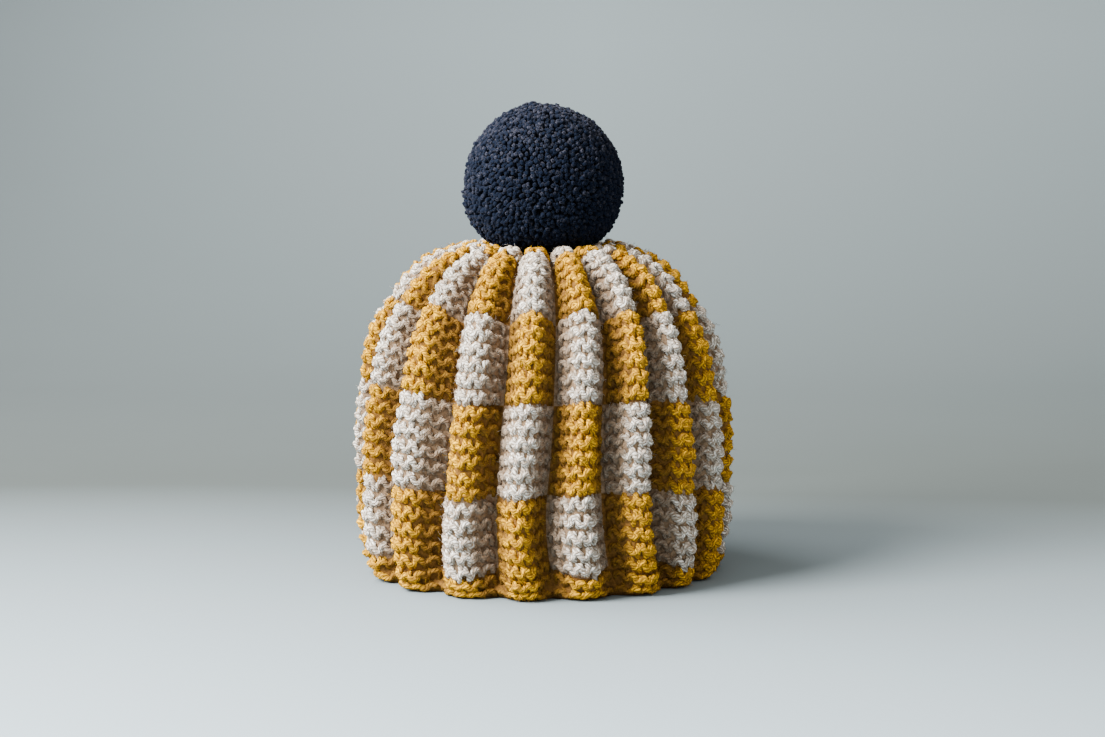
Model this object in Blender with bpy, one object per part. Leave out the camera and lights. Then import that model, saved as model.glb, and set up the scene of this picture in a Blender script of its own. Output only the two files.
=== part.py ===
"""A knitted tea cosy, in metres and +Z up, standing on its hem at z = 0.

Two garter-stitch panels, front and back, are drawn into ten rounded pleats each. They are
sewn together at the crown and at the hem, and left open between for a pot's spout (-X) and
handle (+X). The crown is gathered to a small hole, and a yarn pompom sits in its dip.
"""

import math
import random
from collections import namedtuple

import bmesh
import bpy
import numpy as np
from mathutils import Vector

MM = 0.001  # the sizes below are in millimetres

# ---- Driving sizes ----

PLEATS = 10  # on each panel
WALL = 5.0  # thickness of the bulky garter-stitch cloth
SEAM_GAP = 0.3  # between the panels

# The line that the pleats' crests follow, from the hem up and over into the gathered centre.
Station = namedtuple("Station", "height radius pleat_depth")
PROFILE = (
    Station(0.0, 88.0, 8.0),  # the hem, turned in a little
    Station(5.0, 92.5, 11.5),
    Station(20.0, 95.8, 14.5),
    Station(55.0, 96.4, 16.0),  # the fullest height
    Station(92.0, 93.4, 15.5),
    Station(122.0, 85.2, 14.0),  # the shoulder
    Station(145.0, 70.5, 12.0),
    Station(159.0, 55.0, 10.0),
    Station(164.5, 40.0, 8.0),  # the top of the crown
    Station(162.0, 24.0, 4.5),
    Station(154.5, 6.0, 1.0),  # the gathered hole
)

# The colour changes pull each pleat in, so the cloth is laid off along the profile in blocks.
HEM_BAND = 12.5
BLOCKS = (39.5, 45.0, 46.0, 44.0)  # from the hem band up
WAIST = 1.4  # how far a pleat is drawn in where the colour changes
RINGS_IN_HEM = 2
RINGS_IN_BLOCK = 3
RINGS_IN_CROWN = 3

# The side slits, open between two heights along the profile.
SLIT_START = 24.0
SLIT_END = 132.0
SLIT_HALF_WIDTH = 10.0

# Grooves between the pleats: degrees from the panel's middle, at six places up the profile.
GROOVE_LEVELS = (0.0, 38.0, 76.0, 117.0, 150.0, 184.0)
Groove = namedtuple("Groove", "hem low mid high shoulder crown")
FRONT_GROOVES = (
    Groove(-74.0, -76.0, -75.0, -74.0, -74.0, -72.0),
    Groove(-58.0, -59.5, -61.0, -58.0, -58.5, -56.0),
    Groove(-39.0, -39.0, -36.5, -36.5, -38.0, -38.5),
    Groove(-17.6, -19.0, -18.0, -16.3, -17.4, -19.0),
    Groove(0.9, -1.8, 0.2, 1.7, 2.8, 3.3),
    Groove(21.5, 18.3, 18.0, 20.4, 22.5, 21.8),
    Groove(41.0, 36.0, 36.2, 37.0, 40.5, 43.5),
    Groove(55.5, 55.5, 54.0, 53.5, 57.0, 60.0),
    Groove(72.5, 73.0, 72.0, 71.5, 73.5, 75.0),
)
BACK_GROOVES = (
    Groove(-71.0, -72.5, -73.5, -72.0, -71.0, -73.0),
    Groove(-55.0, -53.5, -54.5, -56.0, -54.0, -52.5),
    Groove(-37.5, -34.5, -35.0, -37.0, -38.0, -36.0),
    Groove(-16.0, -17.5, -19.5, -18.0, -16.5, -18.5),
    Groove(1.5, 1.0, -1.5, -0.5, 1.5, 0.0),
    Groove(17.0, 19.5, 17.5, 16.5, 18.5, 20.0),
    Groove(37.5, 36.5, 34.5, 36.5, 38.5, 37.5),
    Groove(56.0, 53.5, 53.0, 55.0, 56.0, 54.0),
    Groove(73.0, 72.0, 73.5, 72.5, 71.0, 72.0),
)
# How far each pleat stands out past the crests' line, from the panel's left to its right.
BULGE_LEVELS = (0.0, 76.0, 142.0, 200.0)
Bulge = namedtuple("Bulge", "hem belly shoulder centre")
FRONT_BULGES = (
    Bulge(-3.0, 1.0, 3.2, 0.0),
    Bulge(1.0, 1.2, 3.0, 0.0),
    Bulge(2.4, 0.8, 1.6, 0.0),
    Bulge(1.4, -0.6, -0.4, 0.0),
    Bulge(1.0, 1.0, 0.6, 0.0),
    Bulge(0.4, -0.4, -0.6, 0.0),
    Bulge(0.6, 0.9, 0.4, 0.0),
    Bulge(-0.4, 0.0, 0.8, 0.0),
    Bulge(-0.6, 0.6, 1.0, 0.0),
    Bulge(-2.0, 0.8, 1.6, 0.0),
)
BACK_BULGES = (
    Bulge(-1.0, 0.5, 0.0, 0.0),
    Bulge(0.4, 0.9, 0.8, 0.0),
    Bulge(-0.6, -0.5, 0.2, 0.0),
    Bulge(0.5, 0.6, -0.4, 0.0),
    Bulge(0.0, -0.8, 0.7, 0.0),
    Bulge(0.8, 0.7, 0.0, 0.0),
    Bulge(-0.5, 0.3, -0.5, 0.0),
    Bulge(0.3, 0.9, 1.2, 0.0),
    Bulge(-0.2, 0.0, 2.0, 0.0),
    Bulge(-2.4, 1.0, 3.0, 0.0),
)

# Fullness of a pleat's rounded section: 2 is an ellipse, more is squarer.
FULLNESS = 2.2
OUTER_STEPS = 6  # facets across a pleat, outside
INNER_STEPS = ((-0.62, 0.8), (0.0, 0.0), (0.62, 0.8))  # place and depth of the hollow inside

# The pompom, a cut ball of yarn that is flatter and wider where it sits.
POMPOM_CENTRE = 195.5
POMPOM_RADIUS = 38.4
POMPOM_SAG = 3.2  # extra radius low on the ball
POMPOM_SAG_ANGLE = math.radians(-38.0)
POMPOM_SAG_SPREAD = math.radians(30.0)
POMPOM_CORE = 31.5  # radius at which the locks' roots join
POMPOM_ROOM = 1.2  # between the seated locks and the crests of the crown
LOCKS_ACROSS = 7  # on each of six faces: 294 locks
LOCK_ROOM = 0.55  # inset around a lock's root
LOCK_TIP = 0.95  # a tip's width as a share of one that spreads evenly from the centre
LOCK_UNEVEN = 1.1  # how far a lock ends above or below the ball
LOCK_LEAN = 0.4  # how far a tip leans sideways
SEED = 11

Yarn = namedtuple("Yarn", "name colour roughness")
MUSTARD = Yarn("mustard yarn", (0.47, 0.25, 0.045, 1.0), 0.92)
OATMEAL = Yarn("oatmeal yarn", (0.52, 0.45, 0.38, 1.0), 0.92)
NAVY = Yarn("navy yarn", (0.012, 0.018, 0.034, 1.0), 0.95)


# ---- Curves ----


def smooth_curve(points, steps):
    """A Catmull-Rom curve through rows of numbers, with steps rows from each to the next."""
    rows = np.array(points, dtype=float)
    before = np.vstack([2 * rows[0] - rows[1], rows])
    after = np.vstack([rows, 2 * rows[-1] - rows[-2]])
    slopes = (after[1:] - before[:-1]) / 2
    share = np.linspace(0.0, 1.0, steps, endpoint=False)[:, None]
    runs = []
    for start, end, leave, arrive in zip(rows, rows[1:], slopes, slopes[1:]):
        runs.append(
            (2 * share**3 - 3 * share**2 + 1) * start
            + (share**3 - 2 * share**2 + share) * leave
            + (3 * share**2 - 2 * share**3) * end
            + (share**3 - share**2) * arrive
        )
    return np.vstack([*runs, rows[-1:]])


class Profile:
    """The crests' line, measured along its own length from the hem."""

    def __init__(self, stations):
        curve = smooth_curve(stations, steps=24)
        self.height, self.radius, self.depth = curve.T
        rise, run = np.gradient(self.height), np.gradient(self.radius)
        length = np.hypot(rise, run)
        self.out, self.up = rise / length, -run / length
        gaps = np.hypot(np.diff(self.height), np.diff(self.radius))
        self.along = np.concatenate([[0.0], np.cumsum(gaps)])
        self.length = self.along[-1]

    def at(self, along):
        """Height, radius, pleat depth and the outward direction's two parts."""
        columns = (self.height, self.radius, self.depth, self.out, self.up)
        return [float(np.interp(along, self.along, column)) for column in columns]

    def top_at(self, radius):
        """Height of the crown at a distance from its centre."""
        crown = self.radius <= 60.0
        return float(np.interp(radius, self.radius[crown][::-1], self.height[crown][::-1]))


PROFILE_LINE = Profile(PROFILE)


def ring_places():
    """Distances along the profile of the rings of vertices, with one at each colour change."""
    places = list(np.linspace(0.0, HEM_BAND, RINGS_IN_HEM, endpoint=False))
    start = HEM_BAND
    for block in BLOCKS:
        places += list(np.linspace(start, start + block, RINGS_IN_BLOCK, endpoint=False))
        start += block
    places += list(np.linspace(start, PROFILE_LINE.length, RINGS_IN_CROWN + 1))
    return places


def waist_at(along):
    """How far the pleats are drawn in at a distance along the profile."""
    start = HEM_BAND
    for block in BLOCKS:
        if start <= along <= start + block:
            return WAIST * (1.0 - math.sin(math.pi * (along - start) / block))
        start += block
    return 0.0


def slit_half_width(along):
    """Half the width of a side slit, 0 where the panels are sewn together."""
    if not SLIT_START < along < SLIT_END:
        return 0.0
    share = (along - SLIT_START) / (SLIT_END - SLIT_START)
    return SLIT_HALF_WIDTH * math.sin(math.pi * share) ** 0.7


def table_at(levels, table, along):
    """Each row's value at a distance along the profile, with a smooth curve between levels."""
    curve = smooth_curve(np.column_stack([levels, np.array(table).T]), steps=8)
    return [float(np.interp(along, curve[:, 0], column)) for column in curve[:, 1:].T]


def groove_angles(grooves, along):
    """Angles, in radians, of a panel's two edges and of the grooves between its pleats."""
    radius = PROFILE_LINE.at(along)[1]
    edge = math.pi / 2 - slit_half_width(along) / radius
    return [-edge, *np.radians(table_at(GROOVE_LEVELS, grooves, along)), edge]


# ---- Panels ----


def pleat_lift(place):
    """Share of a pleat's height at a place from -1 to 1 across it: 1 at its crest."""
    return (1.0 - abs(place) ** FULLNESS) ** (1.0 / FULLNESS)


def outer_places():
    """Places across a pleat for its outer facets, closer together near the grooves."""
    turns = np.linspace(-math.pi / 2, math.pi / 2, OUTER_STEPS + 1)
    return [math.sin(turn) for turn in turns[:-1]]


def cloth_point(angle, along, inward):
    """A point inward from the crests' line, in metres."""
    height, radius, _, out, up = PROFILE_LINE.at(along)
    up *= min(1.0, along / HEM_BAND)  # the hem stays level where it stands
    reach = radius - inward * out
    return Vector((reach * math.sin(angle), -reach * math.cos(angle), height - inward * up)) * MM


def panel_ring(grooves, bulges, along):
    """The outer and inner points of a panel at one distance along the profile."""
    _, radius, depth, _, _ = PROFILE_LINE.at(along)
    angles = groove_angles(grooves, along)
    stands_out = table_at(BULGE_LEVELS, bulges, along)
    root = depth + WALL
    outer, inner = [], []
    for left, right, stands in zip(angles, angles[1:], stands_out):
        middle, half = (left + right) / 2, (right - left) / 2
        hollow = min(1.0, max(0.0, radius * half / WALL - 1.0))
        crest = waist_at(along) - stands
        for place in outer_places():
            inward = depth - (depth - crest) * pleat_lift(place)
            outer.append(cloth_point(middle + half * place, along, inward))
        inner.append(cloth_point(left, along, root))
        for place, share in INNER_STEPS:
            ceiling = crest + WALL + share * (depth - crest)
            inward = root + (ceiling - root) * hollow
            inner.append(cloth_point(middle + half * place, along, inward))
    outer.append(cloth_point(angles[-1], along, depth))
    inner.append(cloth_point(angles[-1], along, root))
    return outer, inner


def skin(bm, rings, flip):
    """Quads between rings of vertices."""
    for low, high in zip(rings, rings[1:]):
        for a, b, c, d in zip(low, low[1:], high[1:], high):
            bm.faces.new((d, c, b, a) if flip else (a, b, c, d))


def rim(bm, outer, inner, flip):
    """Closes the cloth's edge between its two faces, with one face for each pleat."""
    inner_steps = len(INNER_STEPS) + 1
    for pleat in range(PLEATS):
        near = outer[pleat * OUTER_STEPS : (pleat + 1) * OUTER_STEPS + 1]
        far = inner[pleat * inner_steps : (pleat + 1) * inner_steps + 1]
        corners = near + far[::-1]
        bm.faces.new(corners[::-1] if flip else corners)


def edge_strip(bm, outer, inner, flip):
    """Closes the cloth's upright edge."""
    for a, b, c, d in zip(outer, outer[1:], inner[1:], inner):
        bm.faces.new((d, c, b, a) if flip else (a, b, c, d))


def make_panel(name, yarn, grooves, bulges, turn):
    """One pleated panel, turned about the upright axis to its side of the cosy."""
    bm = bmesh.new()
    outer_rings, inner_rings = [], []
    for along in ring_places():
        outer, inner = panel_ring(grooves, bulges, along)
        outer_rings.append([bm.verts.new(point) for point in outer])
        inner_rings.append([bm.verts.new(point) for point in inner])
    skin(bm, outer_rings, flip=False)
    skin(bm, inner_rings, flip=True)
    rim(bm, outer_rings[0], inner_rings[0], flip=True)
    rim(bm, outer_rings[-1], inner_rings[-1], flip=False)
    for end, flip in ((0, False), (-1, True)):
        outer = [ring[end] for ring in outer_rings]
        inner = [ring[end] for ring in inner_rings]
        edge_strip(bm, outer, inner, flip=not flip)
    bmesh.ops.recalc_face_normals(bm, faces=bm.faces)
    panel = add_object(name, bm, yarn)
    panel.rotation_euler.z = turn
    panel.location.y = -math.cos(turn) * SEAM_GAP / 2 * MM
    return panel


# ---- Pompom ----


def ball_radius(elevation):
    """The pompom's radius, in millimetres, at an angle above its middle."""
    off = (elevation - POMPOM_SAG_ANGLE) / POMPOM_SAG_SPREAD
    return POMPOM_RADIUS + POMPOM_SAG * math.exp(-off * off)


def seat_height(point):
    """Least height of the pompom above a point, both in metres from the ball's centre."""
    radius = math.hypot(point.x, point.y) / MM
    return (PROFILE_LINE.top_at(radius) + POMPOM_ROOM - POMPOM_CENTRE) * MM


def round_cube(bm, radius):
    """A cube's faces cut into a grid and blown up to an even ball."""
    bmesh.ops.create_cube(bm, size=2.0)
    bmesh.ops.subdivide_edges(bm, edges=bm.edges[:], cuts=LOCKS_ACROSS - 1, use_grid_fill=True)
    for vertex in bm.verts:
        even = [math.tan(value * math.pi / 4) for value in vertex.co]
        vertex.co = Vector(even).normalized() * radius


def make_pompom(name, yarn):
    """A ball of four-sided yarn locks whose roots join in a round core."""
    rng = random.Random(SEED)
    bm = bmesh.new()
    round_cube(bm, POMPOM_CORE * MM)
    cells = bm.faces[:]
    bmesh.ops.inset_individual(bm, faces=cells, thickness=LOCK_ROOM * MM, use_even_offset=True)
    tips = bmesh.ops.extrude_discrete_faces(bm, faces=cells)["faces"]
    for tip in tips:
        middle = tip.calc_center_median().normalized()
        uneven = rng.uniform(-LOCK_UNEVEN, LOCK_UNEVEN)
        reach = (ball_radius(math.asin(middle.z)) + uneven) * MM
        lean = Vector([rng.uniform(-LOCK_LEAN, LOCK_LEAN) for _ in range(3)]) * MM
        lean -= middle * lean.dot(middle)
        growth = LOCK_TIP * reach / (POMPOM_CORE * MM)
        root = tip.calc_center_median()
        for vertex in tip.verts:
            vertex.co = middle * reach + lean + (vertex.co - root) * growth
            vertex.co.z = max(vertex.co.z, seat_height(vertex.co))
    pompom = add_object(name, bm, yarn)
    pompom.location.z = POMPOM_CENTRE * MM
    return pompom


# ---- Objects ----


def yarn_material(yarn):
    found = bpy.data.materials.get(yarn.name)
    if found:
        return found
    material = bpy.data.materials.new(yarn.name)
    material.use_nodes = True
    material.diffuse_color = yarn.colour
    shader = material.node_tree.nodes["Principled BSDF"]
    shader.inputs["Base Color"].default_value = yarn.colour
    shader.inputs["Roughness"].default_value = yarn.roughness
    shader.inputs["Metallic"].default_value = 0.0
    return material


def add_object(name, bm, yarn):
    mesh = bpy.data.meshes.new(name)
    bm.to_mesh(mesh)
    bm.free()
    mesh.shade_smooth()
    mesh.set_sharp_from_angle(angle=math.radians(50.0))
    mesh.materials.append(yarn_material(yarn))
    thing = bpy.data.objects.new(name, mesh)
    bpy.context.scene.collection.objects.link(thing)
    return thing


def main():
    for thing in list(bpy.data.objects):
        bpy.data.objects.remove(thing)
    make_panel("front_panel", MUSTARD, FRONT_GROOVES, FRONT_BULGES, turn=0.0)
    make_panel("back_panel", OATMEAL, BACK_GROOVES, BACK_BULGES, turn=math.pi)
    make_pompom("pompom", NAVY)


main()
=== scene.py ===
"""The looks of a knitted tea cosy: yarn loops on two pleated panels, and a cut yarn pompom."""

import math
from collections import namedtuple

import bpy
import numpy as np
from bpy.props import FloatProperty, FloatVectorProperty, IntProperty, PointerProperty
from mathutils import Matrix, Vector


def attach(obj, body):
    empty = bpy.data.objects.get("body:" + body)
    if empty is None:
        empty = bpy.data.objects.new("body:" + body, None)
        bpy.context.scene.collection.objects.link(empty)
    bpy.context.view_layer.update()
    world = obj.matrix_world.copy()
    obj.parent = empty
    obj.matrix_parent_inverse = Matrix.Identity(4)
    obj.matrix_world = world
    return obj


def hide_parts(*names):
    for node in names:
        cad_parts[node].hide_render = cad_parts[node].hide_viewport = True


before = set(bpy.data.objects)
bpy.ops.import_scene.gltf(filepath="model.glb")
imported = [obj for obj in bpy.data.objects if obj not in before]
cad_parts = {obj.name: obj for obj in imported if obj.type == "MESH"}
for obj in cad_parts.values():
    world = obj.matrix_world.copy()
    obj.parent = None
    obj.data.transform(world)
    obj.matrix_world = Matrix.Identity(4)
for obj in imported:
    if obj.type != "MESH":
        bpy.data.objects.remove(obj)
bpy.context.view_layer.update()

bl_info = {
    "name": "Knitted Tea Cosy",
    "version": (1, 0, 0),
    "blender": (4, 5, 0),
    "location": "3D View > Sidebar > Tea Cosy",
    "description": "Knits a pleated tea cosy with a pompom around its packed solids",
    "category": "Add Mesh",
}

MM = 0.001  # the sizes below are in millimetres

# ---- The cosy's form, as its solids have it ----

PLEATS = 10  # on each panel
WALL = 5.0
HEM_BAND = 12.5
WAIST = 1.4  # how far a change of colour draws a pleat in
FULLNESS = 2.2  # 2 makes a pleat's section an ellipse, and more makes it squarer
SLIT_START = 24.0
SLIT_END = 132.0
SLIT_HALF_WIDTH = 10.0
SLIT_ROUNDNESS = 0.7  # below 1, it is fuller at its ends
PROFILE_STEPS = 24  # from each station to the next
TABLE_STEPS = 8  # from each level of a table to the next
GROOVE_ROWS = 420  # places along the profile at which the grooves are kept
CROWN_REACH = 60.0  # nearer the centre than this, the profile is the crown
SWING_STEP, ALONG_STEP = 0.03, 0.6  # between the points that give a surface's direction

# Height and radius of the pleats' crests, and the pleats' depth, from the hem to the crown.
PROFILE = (
    (0.0, 88.0, 8.0),
    (5.0, 92.5, 11.5),
    (20.0, 95.8, 14.5),
    (55.0, 96.4, 16.0),
    (92.0, 93.4, 15.5),
    (122.0, 85.2, 14.0),
    (145.0, 70.5, 12.0),
    (159.0, 55.0, 10.0),
    (164.5, 40.0, 8.0),
    (162.0, 24.0, 4.5),
    (154.5, 6.0, 1.0),
)

# Grooves between the pleats: degrees from the panel's middle at six levels up the profile.
GROOVE_LEVELS = (0.0, 38.0, 76.0, 117.0, 150.0, 184.0)
FRONT_GROOVES = (
    (-74.0, -76.0, -75.0, -74.0, -74.0, -72.0),
    (-58.0, -59.5, -61.0, -58.0, -58.5, -56.0),
    (-39.0, -39.0, -36.5, -36.5, -38.0, -38.5),
    (-17.6, -19.0, -18.0, -16.3, -17.4, -19.0),
    (0.9, -1.8, 0.2, 1.7, 2.8, 3.3),
    (21.5, 18.3, 18.0, 20.4, 22.5, 21.8),
    (41.0, 36.0, 36.2, 37.0, 40.5, 43.5),
    (55.5, 55.5, 54.0, 53.5, 57.0, 60.0),
    (72.5, 73.0, 72.0, 71.5, 73.5, 75.0),
)
BACK_GROOVES = (
    (-71.0, -72.5, -73.5, -72.0, -71.0, -73.0),
    (-55.0, -53.5, -54.5, -56.0, -54.0, -52.5),
    (-37.5, -34.5, -35.0, -37.0, -38.0, -36.0),
    (-16.0, -17.5, -19.5, -18.0, -16.5, -18.5),
    (1.5, 1.0, -1.5, -0.5, 1.5, 0.0),
    (17.0, 19.5, 17.5, 16.5, 18.5, 20.0),
    (37.5, 36.5, 34.5, 36.5, 38.5, 37.5),
    (56.0, 53.5, 53.0, 55.0, 56.0, 54.0),
    (73.0, 72.0, 73.5, 72.5, 71.0, 72.0),
)
# How far each pleat stands out past the crests' line, from the panel's left to its right. At
# the last level none does.
BULGE_LEVELS = (0.0, 76.0, 142.0, 200.0)
FRONT_BULGES = (
    (-3.0, 1.0, 3.2),
    (1.0, 1.2, 3.0),
    (2.4, 0.8, 1.6),
    (1.4, -0.6, -0.4),
    (1.0, 1.0, 0.6),
    (0.4, -0.4, -0.6),
    (0.6, 0.9, 0.4),
    (-0.4, 0.0, 0.8),
    (-0.6, 0.6, 1.0),
    (-2.0, 0.8, 1.6),
)
BACK_BULGES = (
    (-1.0, 0.5, 0.0),
    (0.4, 0.9, 0.8),
    (-0.6, -0.5, 0.2),
    (0.5, 0.6, -0.4),
    (0.0, -0.8, 0.7),
    (0.8, 0.7, 0.0),
    (-0.5, 0.3, -0.5),
    (0.3, 0.9, 1.2),
    (-0.2, 0.0, 2.0),
    (-2.4, 1.0, 3.0),
)

# ---- The knitting ----

# Blocks of one colour up the profile. On odd pleats a block has the colour named here.
Block = namedtuple("Block", "end ridges odd even")
MUSTARD, OATMEAL = 0, 1
YARNS = ("mustard", "oatmeal")
BLOCKS = (
    Block(12.5, 2, MUSTARD, MUSTARD),
    Block(52.0, 5, MUSTARD, OATMEAL),
    Block(97.0, 6, OATMEAL, MUSTARD),
    Block(143.0, 6, MUSTARD, OATMEAL),
    Block(187.0, 6, OATMEAL, MUSTARD),
    Block(209.0, 3, MUSTARD, OATMEAL),
)
# How far the courses ride up each pleat: low, in the middle and high on the panel.
DRIFT_LEVELS = (0.0, 12.5, 46.0, 90.0, 134.0, 180.0, 209.0)
FRONT_DRIFTS = (
    (3.0, 4.0, 2.0),
    (4.0, 4.0, 1.0),
    (1.5, 3.5, 2.0),
    (-3.0, -2.0, 0.0),
    (-0.5, 0.2, 1.0),
    (1.3, 0.7, 2.2),
    (1.3, 0.2, 0.7),
    (-2.5, -2.0, -2.0),
    (-4.5, -5.0, -4.0),
    (-4.5, -5.0, -4.0),
)
BACK_DRIFTS = (
    (-2.5, -2.0, -1.0),
    (-1.0, -1.5, -2.0),
    (1.0, 0.5, -0.5),
    (2.0, 2.5, 1.0),
    (0.5, 1.0, 1.5),
    (-1.5, -0.5, 0.0),
    (-2.0, -2.5, -1.5),
    (0.5, -1.0, -1.0),
    (2.5, 1.5, 0.5),
    (3.0, 2.0, 1.0),
)
HEM_DRIFT = 0.6  # share of the low drift at the hem band's top
CROWN_DRIFT = 0.5  # share of the high drift at the crown

LOOP_POINTS, LOOP_SIDES = 8, 6
LOOP_RISE = 1.3  # a loop's bend above its ridge's middle
LOOP_DROP = 3.3  # its legs below it
LOOP_RIDGE = 7.5  # height of the ridge that both are given for
LOOP_SPAN = 0.38  # half its width, as a share of the stitch
LOOP_BELLY = 0.18  # how much wider it is at half its height
LOOP_LEAN = 0.09  # how far it leans, at random
LOOP_CREST = -1.1  # the strand's middle, above the pleat's surface, at the bend
LOOP_SINK = 1.7  # and how much deeper its legs are
LOOP_OVERHANG = 0.6  # how far it may reach past its pleat's edge
LOOP_UNEVEN = 0.05  # how the strand's thickness varies from loop to loop
POINT_UNEVEN = 0.03  # and along a loop
JITTER = 0.36  # how far it strays
WIDTH_JITTER = 0.25  # share of that by which it is wider
LIFT_JITTER = 0.7  # and by which it stands out
STITCHES_MOST = 7
ROW_STEPS = 40  # steps that measure a course across a pleat
COVERED_FROM = 203.0  # courses past this are gathered under the pompom
CREST_DRAW = 0.35  # share by which a pleat is drawn in at its crest; its root keeps its width
CROWN_LEVELS = (160.0, 196.0)  # between these the pleats crowd together under the pompom
CROWN_SHARES = (1.0, 0.2)  # what they keep there of their draw and of the painted shade in their folds
FOLD_SHADE_START, FOLD_SHADE_END = 0.7, 1.1  # swings over which painted shade darkens the wool into the folds

EDGE_FROM = 1.0  # half width of slit from which its edges are bound
EDGE_LENGTH = 1.2  # an edge loop's length, in ridges
EDGE_REACH = 4.4  # how far it reaches over the cloth's thickness
EDGE_PUSH = 0.9  # and into the slit
EDGE_OUTSIDE, EDGE_INSIDE = 0.6, 0.4  # how far its ends stand off the wall's two faces
EDGE_JITTER, EDGE_REACH_JITTER = 0.25, 0.2
EDGE_UNEVEN = 0.04
EDGE_AHEAD = 0.1  # a small turn that points into the slit
EDGE_SHADE = 0.3  # painted shade on the edge loops, as in the folds

FLOAT_POINTS, FLOAT_SIDES = 61, 5
FLOAT_RADIUS = 1.0
FLOAT_UNEVEN = 0.05
FLOAT_KNOTS = 24  # places where it strays from its course
FLOAT_STRAY = 0.8  # and how far
FLOAT_GAP = 0.5  # from its middle to the wall's inner face
FLOAT_WAVE = 0.35  # how far it swings from pleat to pleat
FLOAT_START, FLOAT_WIDTH = 0.01, 0.98  # where it starts and what it spans, of the panel's width
FLOAT_LOWEST = 1.5
FLOATS_TO = 190.0

CLOTH_OUTSIDE = 2.0  # the cloth's outer skin, below the pleats' surface
CLOTH_INSIDE = 4.7  # and its inner skin
CLOTH_VALLEY = 0.4  # deeper between two ridges
CLOTH_STEPS = 10  # across a pleat
CLOTH_NARROWEST = 0.25  # least share of a pleat's half width
CLOTH_ROOT = 0.6  # share of its depth by which it is sunk at a pleat's root
CLOTH_LOWEST_PLEAT = 0.2  # least height of a pleat in it

FUZZ_POINTS, FUZZ_SIDES = 3, 3
FUZZ_RADII = (0.09, 0.09, 0.03)  # of a fibre's root, middle and tip
FUZZ_ARC = 1.3  # how far round from a strand's outer side it may stand
FUZZ_SHORTEST = 0.4  # share of the longest
FUZZ_ROOT = 0.7  # share of the strand's radius where it starts
FUZZ_MIDDLE = (0.55, 0.35)  # from its root: shares of its reach, away from the strand and along it
FUZZ_TIP = (0.15, 0.6)  # the same, from its middle
FUZZ_WANDER = 0.25  # share of its reach by which its tip strays

# The least height of each above the table.
LOWEST = {"stitches": 0.25, "fibres": 0.1, "floats": 0.3, "cloth": 0.2}
LUMPS = 0.13  # how uneven a strand's surface is
PLIES = 4
TWIST = 0.13  # turns of the plies in a millimetre of strand
SHADED_GROUND_TONES = (0.9, 0.35)  # painted shade: dark tones of the deep colour, for the cloth that shows under the loops
INSIDE_TONE = 0.8

# ---- The pompom ----

POMPOM_MIDDLE = (0.0, 0.0, 195.5)
POMPOM_RADIUS = 38.4
POMPOM_SAG = 3.2  # how much wider it is where it sits
POMPOM_SAG_ANGLE = math.radians(-38.0)
POMPOM_SAG_SPREAD = math.radians(30.0)
POMPOM_ROOM = 1.2  # kept between its ends and the crown's line
CORE_RADIUS = 34.0
CORE_ROWS, CORE_COLUMNS = 24, 48
CORE_POLE = 0.02  # angle from each pole to the first row
END_SIDES = 5
END_ROOT = 2.0  # how far below the core's surface an end starts
END_SHARES = (0.45, 0.93, 1.0, 0.98)  # where its rings are along it
END_GIRTHS = (0.95, 1.0, 0.66, 0.2)  # how thick each is
END_SHADES = (1.0, 0.3, 0.0, 0.6)  # and how much painted shade each ring gets, most at its root
END_SPREAD = 0.009  # how unevenly the ends are spread
END_LEAN = 0.5  # how far its tip strays sideways
END_UNEVEN = 0.07  # how their thickness varies
END_LUMPS = 0.13
END_SIDEWAYS = (0.3, 0.2, 0.9)  # the direction that its rings are turned to
TOP_LIGHT_BIAS = 0.3  # painted light: how much likelier a pale end is at the top, where more light falls, than at the side
END_TIP = (0.0058, 0.0070, 0.0124, 1.0)
PALE_TIP = (0.043, 0.042, 0.053, 1.0)
GAP_SHADE_NAVY = (0.0030, 0.0100, 0.0260, 1.0)  # painted shade: the colour deep between the ends
NAVY_SHEEN = (0.36, 0.35, 0.4, 1.0)
# Where the trimmed ball stands out or is cut short: degrees to the right of its front, and up.
Tuft = namedtuple("Tuft", "turn rise height spread")
TUFTS = (
    Tuft(-60.0, 80.0, 2.0, 7.0),
    Tuft(20.0, 88.0, -1.0, 22.0),
    Tuft(60.0, 62.0, -0.9, 24.0),
    Tuft(88.0, 6.0, 0.9, 18.0),
    Tuft(-70.0, 40.0, -0.9, 22.0),
    Tuft(-88.0, -18.0, 0.5, 16.0),
    Tuft(150.0, 30.0, -0.8, 25.0),
    Tuft(-140.0, -5.0, 0.6, 20.0),
    Tuft(15.0, 20.0, -0.6, 16.0),
    Tuft(-20.0, -30.0, 0.4, 14.0),
)

# ---- The stage ----

FRAME_WIDTH = 1105  # pixels
FOCAL_PIXELS = 2400.0
SENSOR = 36.0
CAMERA_PLACE = (4.75, -1200.0, 237.5)
CAMERA_PITCH = math.radians(6.5)
CAMERA_TURN = math.radians(-3.0)

Lamp = namedtuple("Lamp", "name place size colour")
WINDOW = Lamp("window", (-900.0, 330.0, 1150.0), 1300.0, (0.97, 0.99, 1.0))
FRONT = Lamp("front", (-1200.0, -620.0, 1080.0), 950.0, (1.0, 0.975, 0.94))
LIT_POINT = (0.0, 0.0, 90.0)
SKY_COLOUR = (1.0, 0.96, 0.9, 1.0)

SWEEP_NEAR, SWEEP_FAR = -9000.0, 700.0  # ends of the level floor
SWEEP_BEND, SWEEP_BEND_STEPS = 1100.0, 32
SWEEP_TOP = 2400.0
SWEEP_HALF_WIDTH = 6000.0
# Its tones change over these distances, in metres: painted light and shade on the paper.
PAINTED_FLOOR_SHADE = (-0.42, 0.27)  # painted shade, darker towards the back
PAINTED_SHADOW_SLANT, SLANT_ACROSS = 0.1, (-0.2, 0.4)  # painted shadow: that darkening starts sooner by so much at the right
PAINTED_WALL_LIGHT = (0.3, 1.75)  # painted light: lighter again back and up
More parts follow.
